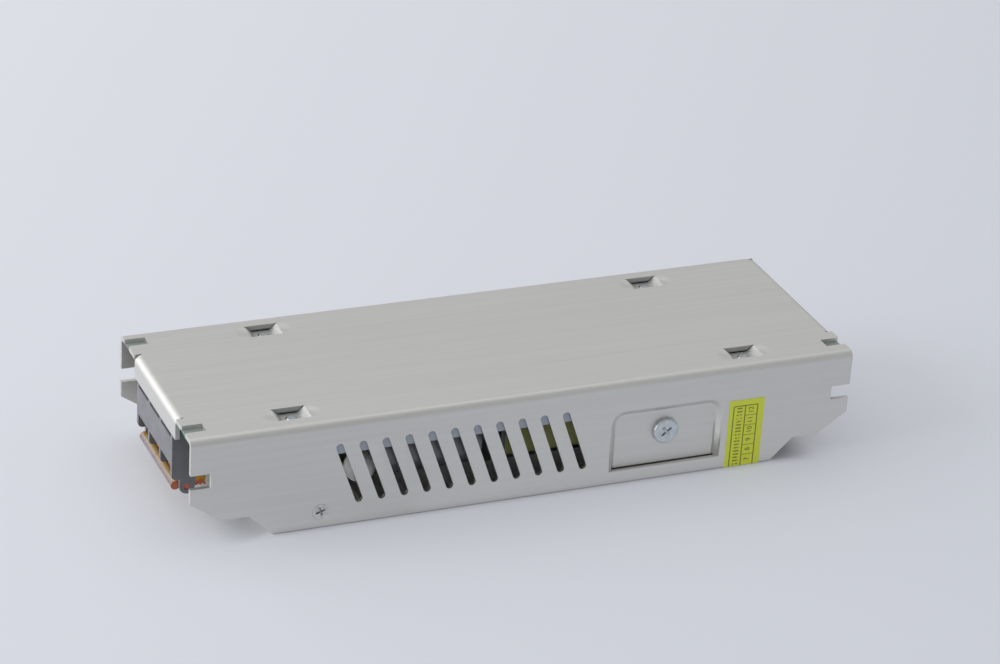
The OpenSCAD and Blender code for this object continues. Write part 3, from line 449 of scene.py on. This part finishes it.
def curveLances(bm):
    d = drawnLook
    end = sheetLook["lanceEnd"]
    for x, y in sheetLook["lances"]:
        strip = [f for f in bm.faces if all(
            abs(v.co.x / mm - x) < end + near and abs(v.co.y / mm - y) < d["half"] + near
            and v.co.z > cadHigh.z - (d["depth"] + d["sheet"]) * mm for v in f.verts)]
        for cut in range(d["cuts"]):
            out = d["crest"] + (end - d["crest"]) * cut / d["cuts"]
            for side in (-1, 1):
                geom = strip + [e for f in strip for e in f.edges] + [v for f in strip for v in f.verts]
                geom = list(dict.fromkeys(geom))  # each once, in the same order at every run
                made = bmesh.ops.bisect_plane(bm, geom=geom, dist=weld, plane_no=(1, 0, 0),
                                              plane_co=((x + side * out) * mm, 0, 0))["geom"]
                strip = [f for f in made if isinstance(f, bmesh.types.BMFace)]
        for v in {v for f in strip for v in f.verts}:
            out = abs(v.co.x / mm - x)
            straight = d["depth"] * min(1, (end - out) / (end - d["flat"]))
            if abs(cadHigh.z / mm - straight - v.co.z / mm) < near:
                share = min(1, max(0, (out - d["crest"]) / (end - d["crest"])))
                v.co.z = cadHigh.z - d["shown"] * (1 - share * share * (3 - 2 * share)) * mm


def roundPockets(bm):
    d = drawnLook
    for v in bm.verts:  # the slit below each pocket drawn half shut
        if (abs(abs(v.co.x / mm) - d["pocketX"]) < d["pocketHalf"]
                and abs(v.co.z / mm - d["slitHigh"]) < near
                and d["floor"] - d["sheet"] < abs(v.co.y / mm) < d["face"]):
            v.co.z = d["slitShut"] * mm
    least, most = (math.radians(angle) for angle in d["rimAngles"])
    low = d["pocketLow"] - d["lowReach"]
    for level, width in ((d["face"], d["rim"]), (d["floor"], d["root"])):
        edges = [e for e in bm.edges if e.is_manifold and least < e.calc_face_angle() < most
                 and all(abs(abs(v.co.y / mm) - level) < near
                         and abs(abs(v.co.x / mm) - d["pocketX"]) < d["pocketHalf"]
                         and low < v.co.z / mm < d["pocketHigh"] for v in e.verts)
                 and max(v.co.z / mm for v in e.verts) > d["pocketLow"] + d["topReach"]]
        bmesh.ops.bevel(bm, geom=edges, offset=width * mm, offset_type="OFFSET", segments=d["segments"],
                        profile=0.5, affect="EDGES", material=-1, clamp_overlap=False)
    bmesh.ops.dissolve_limit(bm, angle_limit=flat, verts=bm.verts, edges=bm.edges)


def isDrawn(edge):  # in a lance or a pocket of the chassis, whose edges stay as they are
    d = drawnLook
    x, y, z = (edge.verts[0].co + edge.verts[1].co) / 2 / mm
    beside, over = d["pocketMargin"]
    if (abs(abs(x) - d["pocketX"]) < d["pocketHalf"] + beside and abs(y) > d["floor"] - d["sheet"]
            and d["pocketLow"] - over < z < d["pocketHigh"] + over):
        return True
    reach = sheetLook["lanceEnd"] + d["lanceMargin"]
    half = sheetLook["lanceHalf"] + d["lanceMargin"]
    return any(abs(x - spot) < reach and abs(y - row) < half for spot, row in sheetLook["lances"])


edgeLook = {
    "broken": 40, "sharp": 60, "segments": 2, "faceWeight": 90,  # degrees, and the weight of flat faces
    "sliver": 0.002,  # mm, shorter edges of the chassis are closed up
    "case": {"chassis": 0.1, "bottom_cover": 0.1, "input_terminal_block": 0.14,
             "output_terminal_block": 0.14, "circuit_board": 0.06, "line_filter_capacitor": 0.2,
             "rectifier_clamp_bar": 0.15, "switch_clamp_bar": 0.15, "trimmer_body": 0.15},
    "lid": 0.08,
}


def softened(node, body, width, material=None):  # the node's own form, with its edges broken
    bm = bmesh.new()
    bm.from_mesh(nodes[node].data)
    bmesh.ops.remove_doubles(bm, verts=bm.verts, dist=weld)
    bmesh.ops.dissolve_limit(bm, angle_limit=flat, verts=bm.verts, edges=bm.edges)
    if node == "chassis":
        curveLances(bm)
        roundPockets(bm)
    least = math.radians(edgeLook["broken"])
    edges = [e for e in bm.edges if e.is_manifold and e.calc_face_angle() > least
             and not (node == "chassis" and isDrawn(e))]
    bmesh.ops.bevel(bm, geom=edges, offset=width * mm, offset_type="OFFSET",
                    segments=edgeLook["segments"], profile=0.5, affect="EDGES", material=-1,
                    clamp_overlap=True)
    if node == "chassis":
        bmesh.ops.dissolve_degenerate(bm, dist=edgeLook["sliver"] * mm, edges=bm.edges)
    for v in bm.verts:
        v.co.z = min(v.co.z, cadHigh.z)
    paint = material or finishes[slotOf[node]]
    piece = addPiece(node + "_soft", bm, body, paint, [node], edgeLook["sharp"])
    even = piece.modifiers.new("evenNormals", "WEIGHTED_NORMAL")  # keeps faces flat beside broken edges
    even.keep_sharp = True
    even.weight = edgeLook["faceWeight"]


for node, width in edgeLook["case"].items():
    softened(node, "case", width)
softened("input_terminal_cover", "input_cover", edgeLook["lid"])
softened("output_terminal_cover", "output_cover", edgeLook["lid"],
         amberPlastic("amberOutput", lidLook["outputHalf"]))
print("edges softened:", len(edgeLook["case"]) + 2)


# Screws with cross recesses

screwLook = {
    "steps": 40, "thread": 0.5, "threadDepth": 0.18, "tip": 0.4,
    "sunk": 0.1, "cone": 1.2, "land": 0.15,  # countersunk heads
    "seatEdge": 0.08, "arcSteps": 5, "topIn": 0.2,  # pan heads
    "recess": ((0.55, 0.86), (0.45, 0.55)),  # two steps: share of the depth, then shrink
    "eachTurn": 37,  # degrees between one screw's cross and the next
}
# Head: radius, height and edge. Shank: radius and length. Cross: reach, half width and depth
clampScrew = {"head": (3.65, 1.3, 0.58), "shank": (1.5, 10.4), "cross": (1.75, 0.36, 0.7)}
terminalScrew = {"head": (3.2, 1.6, 0.7), "shank": (1.5, 4.2), "cross": (2.0, 0.4, 1.0)}
coverPlate = platedSteel("coverPlate", tone(212, 212, 210), tone(194, 194, 192), 0.38)
screws = {  # each spot is a place and the way the head points
    "rectifier_clamp_screw": {**clampScrew, "turn": 38,
                              "spots": (((39.5, -30.1, 13.768), (0, -1, 0)),)},
    "switch_clamp_screw": {**clampScrew, "turn": 15,
                           "spots": (((-39.5, 30.1, 13.768), (0, 1, 0)),)},
    "cover_screws": {"head": (2.22, 0, 0), "shank": (1.2, 5), "cross": (1.35, 0.3, 0.9),
                     "turn": 20, "finish": coverPlate,
                     "spots": (((-58.5, -31.5, 4.7), (0, -1, 0)), ((63, -31.5, 4.7), (0, -1, 0)),
                               ((58.5, 31.5, 4.7), (0, 1, 0)), ((-63, 31.5, 4.7), (0, 1, 0)))},
    "board_screws": {"head": (2.7, 1.8, 0.8), "shank": (1.5, 3.2), "cross": (1.5, 0.35, 1.1),
                     "turn": 30,
                     "spots": tuple(((x, y, 25.9), (0, 0, -1)) for x, y in sheetLook["lances"])},
    "input_terminal_screws": {**terminalScrew, "turn": 10,
                              "spots": tuple(((-86, y, 16.4), (0, 0, -1)) for y in (-10, 0, 10))},
    "output_terminal_screws": {**terminalScrew, "turn": 55,
                               "spots": tuple(((86, y, 16.4), (0, 0, -1)) for y in (-15, -5, 5, 15))},
}


def screwProfile(head, shank):  # half outline, from the tip on the axis to the rim of the flat top
    s = screwLook
    radius, height, edge = head
    core, length = shank
    points = [(0, -length), (core - s["tip"], -length)]
    seat = s["cone"] if height == 0 else 0.0
    level = -length + s["tip"]
    while level < -seat - s["thread"]:
        points += [(core, level), (core - s["threadDepth"], level + s["thread"] / 2)]
        level += s["thread"]
    points.append((core, -seat))
    if height == 0:  # countersunk
        return points + [(radius, -s["sunk"]), (radius - s["land"], -s["sunk"])]
    points += [(radius - s["seatEdge"], 0), (radius, s["seatEdge"])]
    for step in range(s["arcSteps"] + 1):
        angle = math.radians(step * 90 / s["arcSteps"])
        points.append((radius - edge + edge * math.cos(angle), height - edge + edge * math.sin(angle)))
    return points + [(radius - edge - s["topIn"], height)]


def crossLoop(reach, half, turn):
    corners = [(reach, -half), (reach, half), (half, half)]
    loop = []
    for quarter in range(4):
        spin = Matrix.Rotation(math.radians(turn + 90 * quarter), 2)
        loop += [spin @ Vector(corner) for corner in corners]
    return loop


def screwForm(look, turn):
    bm = bmesh.new()
    verts = [bm.verts.new((r * mm, 0, z * mm)) for r, z in screwProfile(look["head"], look["shank"])]
    edges = [bm.edges.new(pair) for pair in zip(verts, verts[1:])]
    bmesh.ops.spin(bm, geom=verts + edges, cent=(0, 0, 0), axis=(0, 0, 1), dvec=(0, 0, 0),
                   angle=math.tau, steps=screwLook["steps"], use_merge=True, use_duplicate=False)
    bmesh.ops.remove_doubles(bm, verts=bm.verts, dist=weld)
    top = max(v.co.z for v in bm.verts)
    rim = [e for e in bm.edges if e.is_boundary and all(v.co.z > top - near * mm for v in e.verts)]
    reach, half, depth = look["cross"]
    loop = [bm.verts.new((p.x * mm, p.y * mm, top)) for p in crossLoop(reach, half, turn)]
    ring = [bm.edges.new(pair) for pair in zip(loop, loop[1:] + loop[:1])]
    bmesh.ops.triangle_fill(bm, edges=rim + ring, use_beauty=True)
    for share, shrink in screwLook["recess"]:
        made = bmesh.ops.extrude_edge_only(bm, edges=ring)["geom"]
        ring = [e for e in made if isinstance(e, bmesh.types.BMEdge)]
        low = [v for v in made if isinstance(v, bmesh.types.BMVert)]
        for v in low:
            v.co = Vector((v.co.x * shrink, v.co.y * shrink, v.co.z - depth * share * mm))
    bmesh.ops.contextual_create(bm, geom=ring)
    bmesh.ops.recalc_face_normals(bm, faces=bm.faces)
    return bm


def addScrews(node, look):
    whole = bmesh.new()
    for index, (spot, axis) in enumerate(look["spots"]):
        one = screwForm(look, look["turn"] + screwLook["eachTurn"] * index)
        turn = Vector((0, 0, 1)).rotation_difference(Vector(axis)).to_matrix().to_4x4()
        one.transform(Matrix.Translation(Vector(spot) * mm) @ turn)
        copy = bpy.data.meshes.new("oneScrew")
        one.to_mesh(copy)
        one.free()
        whole.from_mesh(copy)
        bpy.data.meshes.remove(copy)
    addPiece(node + "_cross", whole, "case", look.get("finish", finishes[slotOf[node]]), [node])


for node, look in screws.items():
    addScrews(node, look)
print("screws made:", len(screws))


# Seal sticker

def addSeal():
    s = sealLook
    bm = bmesh.new()
    front, back = s["face"] * mm, (s["face"] + s["thick"]) * mm
    fold = (s["face"] + s["fold"]) * mm
    low, high, under = s["low"] * mm, s["high"] * mm, (s["low"] + s["thick"]) * mm
    outline = [(front, low), (front, high), (back, high), (back, under), (fold, under), (fold, low)]
    face = bm.faces.new([bm.verts.new((s["x"] * mm, y, z)) for y, z in outline])
    made = bmesh.ops.extrude_face_region(bm, geom=[face])["geom"]
    side = [v for v in made if isinstance(v, bmesh.types.BMVert)]
    bmesh.ops.translate(bm, vec=(s["width"] * mm, 0, 0), verts=side)
    bmesh.ops.recalc_face_normals(bm, faces=bm.faces)
    addPiece("sealSticker", bm, "case", finishes["seal_yellow"], ["seal_sticker"])
    ink = Finish("sealInk")
    inkRough = s["inkRough"] + ink.noise(s["inkScale"], detail=2) * s["uneven"]
    inkPaint = ink.surface({"Base Color": s["ink"], "Roughness": inkRough})
    middle = s["x"] + s["width"] * (s["uprights"][1] + s["uprights"][2]) / 2
    tall = s["high"] - s["low"]
    quarter = math.radians(90)
    upright = Matrix.Rotation(quarter, 4, "X") @ Matrix.Rotation(quarter, 4, "Z")
    for row, number in enumerate(s["numbers"]):
        text = bpy.data.curves.new("number", "FONT")
        text.body = number
        text.size = s["digit"] * mm
        text.extrude = s["inkThick"] / 2 * mm
        text.align_x = "CENTER"
        text.align_y = "CENTER"
        holder = bpy.data.objects.new("number", text)
        mesh = bpy.data.meshes.new_from_object(holder)
        bpy.data.objects.remove(holder)
        bpy.data.curves.remove(text)
        bm = bmesh.new()
        bm.from_mesh(mesh)
        bmesh.ops.remove_doubles(bm, verts=bm.verts, dist=weld)
        bpy.data.meshes.remove(mesh)
        level = s["high"] - tall * (s["top"] + (row + 0.5) * s["cell"])
        spot = (middle * mm, front - s["inkThick"] / 2 * mm, level * mm)
        bm.transform(Matrix.Translation(spot) @ upright)
        addPiece("sealNumber" + str(row + 1), bm, "case", inkPaint)


addSeal()
print("sticker made")


# Stage: pale floor, soft light from the left

stageLook = {
    "floorNear": tone(229, 231, 238), "floorFar": tone(207, 211, 219), "floorSize": 8.0,
    "toneSlope": 0.9, "toneStart": 0.45, "noiseScale": 40, "floorRough": 0.62, "floorUneven": 0.1,
    "seenGlow": 0.35, "mirrorGlow": 0.75, "glowLevel": 0.98,  # share of the tone that shadows leave
    "glowX": 82.0, "fadeX": 6.0, "glowY": 32.5, "fadeY": 2.0,  # no glow under the case
    "sky": (0.97, 0.985, 1.0, 1), "skyStrength": 0.53,
    "lamps": (  # name, place in m, size in m, watts, colour
        ("leftPanel", (-1.7, 0.2, 0.5), 1.4, 25.0, (1, 1, 1)),
        ("cornerPanel", (-1.2, 2.0, 0.8), 1.6, 12.0, (1, 1, 1)),
        ("topPanel", (0.2, 0.8, 2.0), 2.0, 6.5, (1, 1, 1)),
    ),
}


def floorPaint():
    s = stageLook
    f = Finish("floorPaint")
    across = f.axis("X") - f.axis("Y") * s["toneSlope"] + s["toneStart"]
    across = across.math("MINIMUM", 1.0).math("MAXIMUM", 0.0)
    colour = f.blend(across, s["floorNear"], s["floorFar"])
    rough = s["floorRough"] + f.noise(s["noiseScale"], detail=2) * s["floorUneven"]
    paint = f.node("ShaderNodeBsdfPrincipled", None, {"Base Color": colour, "Roughness": rough})
    glow = f.node("ShaderNodeEmission", None, {"Color": colour, "Strength": s["glowLevel"]})
    seen = f.node("ShaderNodeLightPath", out="Is Camera Ray") * s["seenGlow"]
    through = f.node("ShaderNodeLightPath", out="Is Transmission Ray")
    mirrored = f.node("ShaderNodeLightPath", out="Is Glossy Ray").math("MAXIMUM", through)
    beyond = f.axis("X").math("ABSOLUTE").above(s["glowX"] * mm, s["fadeX"] * mm)
    beside = f.axis("Y").math("ABSOLUTE").above(s["glowY"] * mm, s["fadeY"] * mm)
    share = seen.math("MAXIMUM", mirrored * s["mirrorGlow"]) * beyond.math("MAXIMUM", beside)
    mixed = f.node("ShaderNodeMixShader", None, [share, paint, glow])
    f.node("ShaderNodeOutputMaterial", None, {"Surface": mixed})
    return f.material


def addStage():
    bm = bmesh.new()
    bmesh.ops.create_grid(bm, x_segments=1, y_segments=1, size=stageLook["floorSize"] / 2)
    mesh = bpy.data.meshes.new("floor")
    bm.to_mesh(mesh)
    bm.free()
    mesh.materials.append(floorPaint())
    floor = bpy.data.objects.new("floor", mesh)
    bpy.context.scene.collection.objects.link(floor)
    world = bpy.data.worlds.new("studio")
    bpy.context.scene.world = world
    world.use_nodes = True
    sky = world.node_tree.nodes["Background"]
    sky.inputs["Color"].default_value = stageLook["sky"]
    sky.inputs["Strength"].default_value = stageLook["skyStrength"]
    for name, spot, size, watts, colour in stageLook["lamps"]:
        data = bpy.data.lights.new(name, "AREA")
        data.size = size
        data.energy = watts
        data.color = colour
        lamp = bpy.data.objects.new(name, data)
        lamp.location = spot
        lamp.rotation_euler = Vector(spot).to_track_quat("Z", "Y").to_euler()
        bpy.context.scene.collection.objects.link(lamp)


addStage()
print("stage set")
